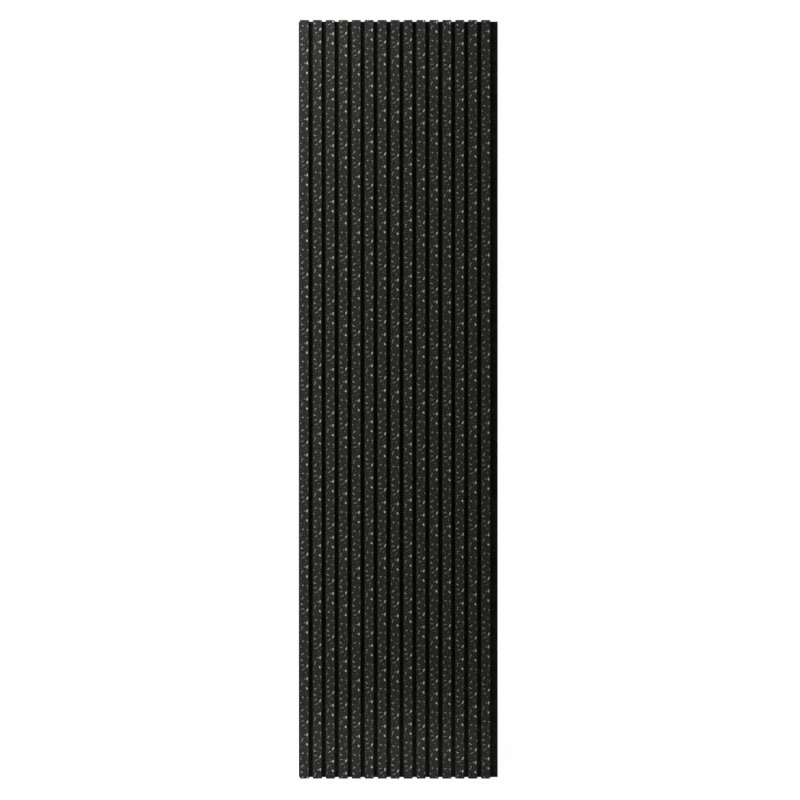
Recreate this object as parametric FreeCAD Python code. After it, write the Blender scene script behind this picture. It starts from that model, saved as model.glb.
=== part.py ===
import FreeCAD, Part
import os

# Acoustic slat wall panel: a row of printed slats on one sheet of black felt, stapled from behind.
# Millimetres. X runs across the panel, Z is up and the slats face -Y.
# The origin is the middle of the felt's back face, which lies flat on the wall.

# Sizes of the panel
panel_height = 2400.0
slat_count = 15
slat_width = 28.0
slat_depth = 12.0
slat_gap = 13.0
slat_edge_radius = 1.0
felt_thickness = 9.0

# Bare felt beside the outer slats, which meets the felt of the next panel
left_lip = 5.0
right_lip = 25.0

# Staples of flat wire, driven through the felt and this deep into the slats
staple_bite = 7.0
staple_rows = 6
end_to_first_row = 75.0
crown_length = 12.8
wire_width = 1.2
wire_thickness = 0.65
point_slant = 0.9
wire_clearance = 0.05

slat_pitch = slat_width + slat_gap
slat_field = slat_count * slat_pitch - slat_gap
felt_width = left_lip + slat_field + right_lip
felt_left = -felt_width / 2
first_slat_left = felt_left + left_lip
bottom = -panel_height / 2
felt_front = -felt_thickness
slat_front = felt_front - slat_depth
staple_tip = felt_front - staple_bite
row_spacing = (panel_height - 2 * end_to_first_row) / (staple_rows - 1)


def slat_left(index):
    return first_slat_left + index * slat_pitch


def staple_places():
    """The middle of every staple's crown, as x and z on the felt's back."""
    for index in range(slat_count):
        middle = slat_left(index) + slat_width / 2
        for row in range(staple_rows):
            yield middle, bottom + end_to_first_row + row * row_spacing


def staple(x, z, ease=0.0):
    """One staple with its crown upright, or with an ease the space that it has bitten out.

    The chisel points slant inwards, and the ease moves their line without turning it.
    """
    outer = crown_length / 2 + ease
    inner = crown_length / 2 - wire_thickness - ease
    slope = point_slant / wire_thickness
    tip = staple_tip - ease - ease * slope
    heel = staple_tip + point_slant - ease + ease * slope
    outline = [
        (0.0, -outer),
        (tip, -outer),
        (heel, -inner),
        (-wire_thickness, -inner),
        (-wire_thickness, inner),
        (heel, inner),
        (tip, outer),
        (0.0, outer),
    ]
    side = x - wire_width / 2 - ease
    corners = [FreeCAD.Vector(side, y, z + up) for y, up in outline]
    face = Part.Face(Part.makePolygon(corners + corners[:1]))
    return face.extrude(FreeCAD.Vector(wire_width + 2 * ease, 0, 0))


def felt_backing():
    """The felt sheet, with a crown's groove and two leg holes at every staple."""
    corner = FreeCAD.Vector(felt_left, felt_front, bottom)
    sheet = Part.makeBox(felt_width, felt_thickness, panel_height, corner)
    return sheet.cut([staple(x, z, wire_clearance) for x, z in staple_places()])


def slat(index):
    """One slat, square at the back, with the two long edges of its printed face rounded."""
    left = slat_left(index)
    corner = FreeCAD.Vector(left, slat_front, bottom)
    bar = Part.makeBox(slat_width, slat_depth, panel_height, corner)
    face_edges = [
        edge
        for edge in bar.Edges
        if abs(edge.BoundBox.YMax - slat_front) < slat_edge_radius / 2
        and edge.BoundBox.ZLength > panel_height / 2
    ]
    bar = bar.makeFillet(slat_edge_radius, face_edges)
    behind = [
        staple(x, z, wire_clearance)
        for x, z in staple_places()
        if left < x < left + slat_width
    ]
    return bar.cut(behind)


def staples():
    return Part.makeCompound([staple(x, z) for x, z in staple_places()])


os.makedirs("parts", exist_ok=True)
felt_backing().exportStep("parts/felt_backing.step")
for index in range(slat_count):
    slat(index).exportStep(f"parts/slat_{index + 1:02d}.step")
staples().exportStep("parts/staples.step")
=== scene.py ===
import math
import random

import bmesh
import bpy
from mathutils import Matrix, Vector
from mathutils.geometry import delaunay_2d_cdt


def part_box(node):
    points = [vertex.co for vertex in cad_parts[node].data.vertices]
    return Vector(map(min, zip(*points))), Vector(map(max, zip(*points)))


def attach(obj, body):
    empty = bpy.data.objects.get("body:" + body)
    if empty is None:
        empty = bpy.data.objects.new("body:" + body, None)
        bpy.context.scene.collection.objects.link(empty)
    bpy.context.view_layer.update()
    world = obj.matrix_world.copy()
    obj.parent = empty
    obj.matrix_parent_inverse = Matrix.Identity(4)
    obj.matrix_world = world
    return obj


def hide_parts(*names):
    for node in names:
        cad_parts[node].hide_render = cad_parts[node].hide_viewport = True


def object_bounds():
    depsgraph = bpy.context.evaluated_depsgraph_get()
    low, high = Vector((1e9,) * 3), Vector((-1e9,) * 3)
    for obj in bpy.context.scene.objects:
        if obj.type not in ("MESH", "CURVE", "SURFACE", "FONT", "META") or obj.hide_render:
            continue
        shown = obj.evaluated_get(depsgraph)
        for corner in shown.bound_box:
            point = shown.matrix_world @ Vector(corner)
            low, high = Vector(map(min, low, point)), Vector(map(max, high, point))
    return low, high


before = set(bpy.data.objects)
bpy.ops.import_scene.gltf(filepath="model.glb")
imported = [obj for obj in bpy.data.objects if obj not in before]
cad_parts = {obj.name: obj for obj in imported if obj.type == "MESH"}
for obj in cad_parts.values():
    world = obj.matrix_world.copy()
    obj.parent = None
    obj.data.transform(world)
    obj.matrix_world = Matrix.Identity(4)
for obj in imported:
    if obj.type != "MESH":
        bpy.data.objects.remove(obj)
cad_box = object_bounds()

MM = 0.001
WELD = 0.001 * MM

# Camera, level with the middle of the panel and square to it
CAMERA_DISTANCE = 2751 * MM
CAMERA_RIGHT = 5.5 * MM
CAMERA_DOWN = 2 * MM
LENS = 39.14

# The print's chips repeat down every slat, and end just short of its edges. Millimetres.
PRINT_REPEAT = 177
PRINT_MARGIN = 0.25

# Each slat was sawn from its own place in the print. These are the millimetres from every slat's
# top down to its first big pale chip, as they look in the photo.
FIRST_CHIPS = (167, 100, 74, 112, 172, 62, 140, 145, 133, 3, 37, 39, 105, 78, 66)

# One repeat's chips. Millimetres across from the slat's left edge and down from the
# big pale chip, then how long and wide, the lean in degrees clockwise from upright, and the tone.
CHIPS = (
    (22, 0, 8, 5, -30, "pale"),
    (3, 8, 5, 4, 0, "faint"),
    (9, 28, 6, 4, 90, "light"),
    (24, 30, 7, 4, -30, "grey"),
    (24, 39, 6, 2, 0, "faint"),
    (3, 46, 5, 4, 0, "grey"),
    (21, 57, 7, 5, -45, "faint"),
    (8, 69, 11, 3, 45, "light"),
    (26, 78, 8, 3, 0, "grey"),
    (6, 88, 10, 3, -60, "light"),
    (8, 103, 10, 2, 80, "light"),
    (23, 107, 11, 4, 25, "pale"),
    (11, 117, 12, 2, 65, "light"),
    (19, 127, 5, 4, 0, "faint"),
    (16, 147, 8, 3, 80, "grey"),
    (23, 147, 10, 4, 5, "pale"),
    (3, 151, 4, 3, 30, "faint"),
    (8, 160, 5, 3, 75, "light"),
    (6, 166, 7, 3, 15, "grey"),
)

# The share of light that each tone gives back, how far it varies inside a chip, and its tint
CHIP_TONES = {"pale": 0.4, "light": 0.26, "grey": 0.18, "faint": 0.1}
CHIP_SPREAD = 0.24
CHIP_TINT = (1, 1.005, 0.95)

# How many corners a chip has, how far each slips along the outline, and how far in or out it lies
CHIP_CORNERS = (6, 7, 8)
CHIP_SLIP = 0.25
CHIP_REACH = (0.82, 1.15)

# The weak gloss of foil, fibreboard and felt
WEAK_GLOSS = 0.05
WHITE = (1, 1, 1, 1)

# A slat's materials, in their order: the foil, the bare fibreboard and then a chip of each tone
FOIL = 0
FIBREBOARD = 1
FIRST_TONE = 2

# The slats' map for baking. The print takes this share of the map's width, the sawn ends this share
# of its height, and an end starts at its own place across it.
MAP_COLUMNS = 8
MAP_PRINT = 0.76
MAP_ENDS = 0.05
MAP_TOP_END = 0.02
MAP_FOOT_END = 0.22
MAP_MARGIN = 2 * MM

# How much of a face's direction lies along an axis, where it faces that way and where it is square to it
FACING = 0.5
SQUARE = 0.999


def principled(name, **sockets):
    """A new material with its Principled shader, and the values that are even all over the surface."""
    material = bpy.data.materials.new(name)
    material.use_nodes = True
    shader = material.node_tree.nodes["Principled BSDF"]
    for socket, value in sockets.items():
        shader.inputs[socket.replace("_", " ")].default_value = value
    return material, shader


def add(material, kind, **sockets):
    """A new node of that kind, with some of its inputs set."""
    node = material.node_tree.nodes.new(kind)
    for socket, value in sockets.items():
        node.inputs[socket.replace("_", " ")].default_value = value
    return node


def noise(material, scale, detail=4.0, stretch=(1, 1, 1), lean=0):
    """Noise fixed in the object. Scale is in waves to the metre, and streaks lean by degrees."""
    turn = (0, math.radians(lean), 0)
    place = add(material, "ShaderNodeTexCoord")
    mapping = add(material, "ShaderNodeMapping", Scale=stretch, Rotation=turn)
    texture = add(material, "ShaderNodeTexNoise", Scale=scale, Detail=detail)
    link = material.node_tree.links.new
    link(place.outputs["Object"], mapping.inputs["Vector"])
    link(mapping.outputs["Vector"], texture.inputs["Vector"])
    return texture.outputs["Fac"]


def ramp(material, value, *stops):
    """A colour ramp over a value. Each stop is a position and a colour."""
    node = add(material, "ShaderNodeValToRGB")
    elements = node.color_ramp.elements
    while len(elements) < len(stops):
        elements.new(0.5)
    for element, (position, colour) in zip(elements, stops):
        element.position = position
        element.color = (*colour, 1)
    material.node_tree.links.new(value, node.inputs["Fac"])
    return node.outputs["Color"]


def combined(material, operation, first, second):
    """One value worked out from two by that operation."""
    node = add(material, "ShaderNodeMath")
    node.operation = operation
    link = material.node_tree.links.new
    link(first, node.inputs[0])
    link(second, node.inputs[1])
    return node.outputs["Value"]


def clouded(material, colour, cloud):
    """The colour made lighter and darker by a grey cloud."""
    node = add(material, "ShaderNodeMix")
    node.data_type = "RGBA"
    node.blend_type = "MULTIPLY"
    node.inputs["Factor"].default_value = 1
    colours = [socket for socket in node.inputs if socket.type == "RGBA"]
    link = material.node_tree.links.new
    link(colour, colours[0])
    link(cloud, colours[1])
    return next(socket for socket in node.outputs if socket.type == "RGBA")


def bump(material, shader, height, strength, distance):
    """Roughens the shader's surface by a height."""
    node = add(material, "ShaderNodeBump", Strength=strength, Distance=distance)
    link = material.node_tree.links.new
    link(height, node.inputs["Height"])
    link(node.outputs["Normal"], shader.inputs["Normal"])


def grey(value):
    """A colour without a tint."""
    return (value, value, value)


def shaded(colour, factor):
    """A colour made darker or lighter by a factor."""
    return tuple(channel * factor for channel in colour)


def foil_material():
    """The printed charcoal foil: satin, faintly clouded, with a fine grain."""
    charcoal = (0.0188, 0.019, 0.017)
    material, shader = principled("charcoal_foil", Specular_IOR_Level=WEAK_GLOSS)
    colour = ramp(
        material, noise(material, scale=190, detail=6),
        (0.3, shaded(charcoal, 0.6)),
        (0.5, charcoal),
        (0.58, shaded(charcoal, 1.6)),
        (0.7, shaded(charcoal, 3.5)),
    )
    roughness = ramp(material, noise(material, scale=130), (0.3, grey(0.42)), (0.7, grey(0.52)))
    link = material.node_tree.links.new
    link(colour, shader.inputs["Base Color"])
    link(roughness, shader.inputs["Roughness"])
    grain = noise(material, scale=1500, detail=2)
    bump(material, shader, grain, strength=0.12, distance=0.1 * MM)
    return material


def chip_material(tone):
    """A printed chip: the foil's satin, with its own tone that varies a little inside."""
    name = tone + "_chip"
    material, shader = principled(name, Specular_IOR_Level=WEAK_GLOSS, Roughness=0.46)
    colour = shaded(CHIP_TINT, CHIP_TONES[tone])
    low = shaded(colour, 1 - CHIP_SPREAD)
    high = shaded(colour, 1 + CHIP_SPREAD)
    mottled = ramp(material, noise(material, scale=380, detail=3), (0.35, low), (0.65, high))
    material.node_tree.links.new(mottled, shader.inputs["Base Color"])
    return material


def fibreboard_material():
    """The slats' black sides, backs and sawn ends."""
    material, shader = principled("black_fibreboard", Specular_IOR_Level=WEAK_GLOSS, Roughness=0.8)
    fibres = noise(material, scale=900, detail=3, stretch=(1, 1, 0.25))
    colour = ramp(material, fibres, (0.35, grey(0.0045)), (0.7, (0.0095, 0.0092, 0.0088)))
    material.node_tree.links.new(colour, shader.inputs["Base Color"])
    bump(material, shader, fibres, strength=0.25, distance=0.2 * MM)
    return material


def felt_material():
    """Pressed black felt: matt, cloudy, with short tangled fibres and a few paler ones."""
    material, shader = principled("black_felt", Specular_IOR_Level=WEAK_GLOSS, Roughness=1.0)
    shader.inputs["Sheen Weight"].default_value = 0.02
    shader.inputs["Sheen Roughness"].default_value = 0.6
    tangle = noise(material, scale=420, detail=3)
    for lean in (8, 52, 97, 143):
        streaks = noise(material, scale=950, detail=2, stretch=(1, 1, 0.12), lean=lean)
        tangle = combined(material, "MAXIMUM", tangle, streaks)
    fibres = combined(material, "MULTIPLY", tangle, noise(material, scale=260))
    colour = ramp(
        material, fibres,
        (0.2, (0.004, 0.004, 0.0034)),
        (0.36, (0.0124, 0.0126, 0.0112)),
        (0.46, (0.036, 0.036, 0.033)),
    )
    clouds = ramp(material, noise(material, scale=16, detail=6), (0.34, grey(0.62)), (0.68, grey(1.3)))
    material.node_tree.links.new(clouded(material, colour, clouds), shader.inputs["Base Color"])
    bump(material, shader, fibres, strength=0.7, distance=0.8 * MM)
    return material


def steel_material():
    """Galvanised staple wire."""
    material, shader = principled("staple_wire", Metallic=1.0)
    streaks = noise(material, scale=2500, detail=3)
    colour = ramp(material, streaks, (0.3, grey(0.42)), (0.7, (0.6, 0.6, 0.58)))
    roughness = ramp(material, streaks, (0.3, grey(0.3)), (0.7, grey(0.5)))
    link = material.node_tree.links.new
    link(colour, shader.inputs["Base Color"])
    link(roughness, shader.inputs["Roughness"])
    return material


def chip_outline(index, length, width, lean):
    """A chip's broken outline about its own middle, as x across and y up."""
    chance = random.Random(index)
    corners = chance.choice(CHIP_CORNERS)
    turn = math.radians(lean)
    points = []
    for corner in range(corners):
        angle = 2 * math.pi * (corner + chance.uniform(-CHIP_SLIP, CHIP_SLIP)) / corners
        reach = chance.uniform(*CHIP_REACH)
        along = math.cos(angle) * length / 2 * reach
        aside = -math.sin(angle) * width / 2 * reach
        x = aside * math.cos(turn) + along * math.sin(turn)
        y = along * math.cos(turn) - aside * math.sin(turn)
        points.append((x, y))
    return points


def kept_between(points, axis, limit, side):
    """The part of an outline on one side of a straight limit across that axis."""
    kept = []
    for here, there in zip(points, points[1:] + points[:1]):
        inside = (here[axis] - limit) * side
        next_inside = (there[axis] - limit) * side
        if inside >= 0:
            kept.append(here)
        if inside * next_inside < 0:
            share = inside / (inside - next_inside)
            kept.append(tuple(a + (b - a) * share for a, b in zip(here, there)))
    return kept


def print_chips(low, high, left, first_chip):
    """Every chip on one slat's face, as an outline in millimetres kept inside the face, and its tone."""
    repeats = math.ceil((high[1] - low[1]) / PRINT_REPEAT) + 1
    for repeat in range(-1, repeats):
        start = high[1] - first_chip - repeat * PRINT_REPEAT
        for index, (across, down, length, width, lean, tone) in enumerate(CHIPS):
            outline = chip_outline(index, length, width, lean)
            points = [(left + across + x, start - down + y) for x, y in outline]
            for axis in (0, 1):
                points = kept_between(points, axis, low[axis] + PRINT_MARGIN, 1)
                points = kept_between(points, axis, high[axis] - PRINT_MARGIN, -1)
            if len(points) > 2:
                yield points, tone


def opened_front(body, front):
    """Takes the slat's front face off, and gives its rim's points as x and z in millimetres."""
    nearly_front = front + 10 * WELD
    faces = [f for f in body.faces if all(vertex.co.y < nearly_front for vertex in f.verts)]
    rim = dict.fromkeys(vertex for face in faces for vertex in face.verts)
    points = [(vertex.co.x / MM, vertex.co.z / MM) for vertex in rim]
    bmesh.ops.delete(body, geom=faces, context="FACES")
    return points


def print_front(body, front, rim, left, first_chip):
    """Fills the slat's front with foil and the print's chips, so that each chip has a sharp edge."""
    low = [min(point[axis] for point in rim) for axis in (0, 1)]
    high = [max(point[axis] for point in rim) for axis in (0, 1)]
    corners = [low, (high[0], low[1]), high, (low[0], high[1])]
    points = list(rim)
    outlines = [[rim.index(min(rim, key=lambda point: math.dist(point, corner))) for corner in corners]]
    tones = []
    for outline, tone in print_chips(low, high, left, first_chip):
        outlines.append(list(range(len(points), len(points) + len(outline))))
        points.extend(outline)
        tones.append(tone)
    inside_only = 1
    nearness = 1e-5
    flat, _, triangles, _, _, sources = delaunay_2d_cdt(
        [Vector(point) for point in points], [], outlines, inside_only, nearness
    )
    placed = [body.verts.new((point.x * MM, front, point.y * MM)) for point in flat]
    tone_order = list(CHIP_TONES)
    for triangle, inputs in zip(triangles, sources):
        new = body.faces.new([placed[corner] for corner in triangle])
        chips = [source for source in inputs if source > 0]
        new.material_index = FIRST_TONE + tone_order.index(tones[chips[-1] - 1]) if chips else FOIL
    bmesh.ops.remove_doubles(body, verts=body.verts, dist=WELD)


def cut_to_columns(body, top, height):
    """Cuts the slat across where the map for baking starts a new column."""
    for cut in range(1, MAP_COLUMNS):
        place = (0, 0, top - height * cut / MAP_COLUMNS)
        everything = [*body.verts, *body.edges, *body.faces]
        bmesh.ops.bisect_plane(body, geom=everything, dist=WELD, plane_co=place, plane_no=(0, 0, 1))
    body.normal_update()


def is_end(normal):
    return abs(normal.z) > FACING


def is_back(normal):
    return normal.y > FACING


def is_front_or_edge(normal):
    """Whether a face belongs to the printed front or to its rounded long edges."""
    return normal.y < -WELD / MM


def is_rounded(normal):
    """Whether a face belongs to a rounded long edge, and so is square to none of the axes."""
    return max(abs(value) for value in normal) < SQUARE


def map_place(normal, column, across, back, width, depth):
    """How far across the map a point lies: the print's columns first, then the bare faces' columns."""
    if is_front_or_edge(normal):
        round_the_edge = back if across > width / 2 else -back
        reach = MAP_MARGIN + across + round_the_edge
        share = (column + reach / (width + 2 * MAP_MARGIN)) / MAP_COLUMNS
        return share * MAP_PRINT
    if is_back(normal):
        reach = across
    elif normal.x < 0:
        reach = width + MAP_MARGIN + back
    else:
        reach = width + depth + 2 * MAP_MARGIN + back
    plain_column = width + 2 * depth + 3 * MAP_MARGIN
    share = (column + (reach + MAP_MARGIN / 2) / plain_column) / MAP_COLUMNS
    return MAP_PRINT + share * (1 - MAP_PRINT)


def lay_out(body, low_corner, high_corner):
    """Lays the slat's length out in columns side by side on its map for baking, above its two ends,
    so that the print stays sharp."""
    layer = body.loops.layers.uv.new("OFBake")
    width, depth, height = (high - low for high, low in zip(high_corner, low_corner))
    step = height / MAP_COLUMNS
    for face in body.faces:
        below_top = high_corner[2] - face.calc_center_median().z
        column = min(int(below_top / step), MAP_COLUMNS - 1)
        for loop in face.loops:
            across = loop.vert.co.x - low_corner[0]
            back = loop.vert.co.y - low_corner[1]
            if is_end(face.normal):
                first = MAP_TOP_END if face.normal.z > 0 else MAP_FOOT_END
                loop[layer].uv = (first + across / step, back / step)
            else:
                up = (loop.vert.co.z - high_corner[2]) / step + column + 1
                place = map_place(face.normal, column, across, back, width, depth)
                loop[layer].uv = (place, MAP_ENDS + (1 - MAP_ENDS) * up)


def finish_faces(body):
    """Smooth foil over the rounded edges, and bare fibreboard on the back, the sides and the ends."""
    for face in body.faces:
        face.smooth = is_rounded(face.normal)
        if face.smooth:
            face.material_index = FOIL
        elif not is_front_or_edge(face.normal):
            face.material_index = FIBREBOARD


def printed_slat(node, first_chip, looks):
    """The slat with its front face divided into the print's chips, in place of the plain one."""
    low_corner, high_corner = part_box(node)
    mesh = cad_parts[node].data.copy()
    mesh.name = node + "_printed"
    mesh.materials.clear()
    for material in looks:
        mesh.materials.append(material)
    body = bmesh.new()
    body.from_mesh(mesh)
    bmesh.ops.remove_doubles(body, verts=body.verts, dist=WELD)
    rim = opened_front(body, low_corner[1])
    print_front(body, low_corner[1], rim, low_corner[0] / MM, first_chip)
    cut_to_columns(body, high_corner[2], high_corner[2] - low_corner[2])
    lay_out(body, low_corner, high_corner)
    finish_faces(body)
    body.to_mesh(mesh)
    body.free()
    piece = bpy.data.objects.new(mesh.name, mesh)
    bpy.context.scene.collection.objects.link(piece)
    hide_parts(node)
    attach(piece, "root")


def dress(node, material):
    """Gives a CAD piece its material in every slot."""
    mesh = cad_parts[node].data
    mesh.materials.clear()
    mesh.materials.append(material)


def stage_floor():
    """A pale floor at the panel's foot, which shows white where it is lit and keeps the shadow."""
    half = 30.0
    lift = 0.75
    z = cad_box[0][2]
    corners = [(-half, -half, z), (half, -half, z), (half, half, z), (-half, half, z)]
    mesh = bpy.data.meshes.new("floor")
    mesh.from_pydata(corners, [], [(0, 1, 2, 3)])
    floor = bpy.data.objects.new("floor", mesh)
    bpy.context.scene.collection.objects.link(floor)
    material, shader = principled("floor", Roughness=0.9, Specular_IOR_Level=0.0)
    shader.inputs["Base Color"].default_value = (*grey(0.8), 1)
    shader.inputs["Emission Color"].default_value = WHITE
    rays = add(material, "ShaderNodeLightPath")
    seen = add(material, "ShaderNodeMath")
    seen.operation = "MULTIPLY"
    seen.inputs[1].default_value = lift
    link = material.node_tree.links.new
    link(rays.outputs["Is Camera Ray"], seen.inputs[0])
    link(seen.outputs["Value"], shader.inputs["Emission Strength"])
    mesh.materials.append(material)


def studio_world():
    """Even soft light from all round, seen as white by the camera and in reflections."""
    fill = 0.35
    world = bpy.data.worlds.new("studio")
    bpy.context.scene.world = world
    world.use_nodes = True
    nodes = world.node_tree.nodes
    link = world.node_tree.links.new
    background = nodes["Background"]
    background.inputs["Color"].default_value = WHITE
    rays = nodes.new("ShaderNodeLightPath")
    level = nodes.new("ShaderNodeValue")
    level.outputs["Value"].default_value = fill
    strength = level.outputs["Value"]
    for ray in ("Is Camera Ray", "Is Glossy Ray", "Is Transmission Ray"):
        brighter = nodes.new("ShaderNodeMath")
        brighter.operation = "MAXIMUM"
        link(strength, brighter.inputs[0])
        link(rays.outputs[ray], brighter.inputs[1])
        strength = brighter.outputs["Value"]
    link(strength, background.inputs["Strength"])


def softbox(name, place, aim, width, height, power):
    """A soft area lamp that the camera doesn't see."""
    lamp = bpy.data.lights.new(name, "AREA")
    lamp.shape = "RECTANGLE"
    lamp.size = width
    lamp.size_y = height
    lamp.energy = power
    holder = bpy.data.objects.new(name, lamp)
    holder.location = place
    holder.rotation_euler = (Vector(aim) - Vector(place)).to_track_quat("-Z", "Y").to_euler()
    holder.visible_camera = False
    bpy.context.scene.collection.objects.link(holder)


def studio_camera():
    """The photo's camera, level and square to the panel."""
    low, high = cad_box
    data = bpy.data.cameras.new("camera")
    data.lens = LENS
    camera = bpy.data.objects.new("camera", data)
    middle = (low[2] + high[2]) / 2
    camera.location = (CAMERA_RIGHT, low[1] - CAMERA_DISTANCE, middle - CAMERA_DOWN)
    camera.rotation_euler = (math.pi / 2, 0, 0)
    bpy.context.scene.collection.objects.link(camera)
    bpy.context.scene.camera = camera


slat_looks = [foil_material(), fibreboard_material()]
slat_looks.extend(chip_material(tone) for tone in CHIP_TONES)
slat_names = sorted(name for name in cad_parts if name.startswith("slat_"))
for name, first_chip in zip(slat_names, FIRST_CHIPS, strict=True):
    printed_slat(name, first_chip, slat_looks)
dress("felt_backing", felt_material())
dress("staples", steel_material())

stage_floor()
studio_world()
softbox("left_strip", place=(-0.95, -0.7, 0.1), aim=(-0.1, 0, 0.1), width=0.4, height=2.4, power=16)
softbox("top_left", place=(-0.6, -0.55, 1.5), aim=(-0.25, 0, 1.0), width=0.6, height=0.5, power=5.2)
softbox("top_front", place=(-0.05, -0.3, 1.27), aim=(-0.05, 0, 1.16), width=0.7, height=0.12, power=0.2)
softbox("foot", place=(-0.14, -0.2, -1.13), aim=(-0.14, 0, -1.17), width=0.9, height=0.1, power=0.4)
studio_camera()
bpy.context.scene.view_settings.view_transform = "Standard"
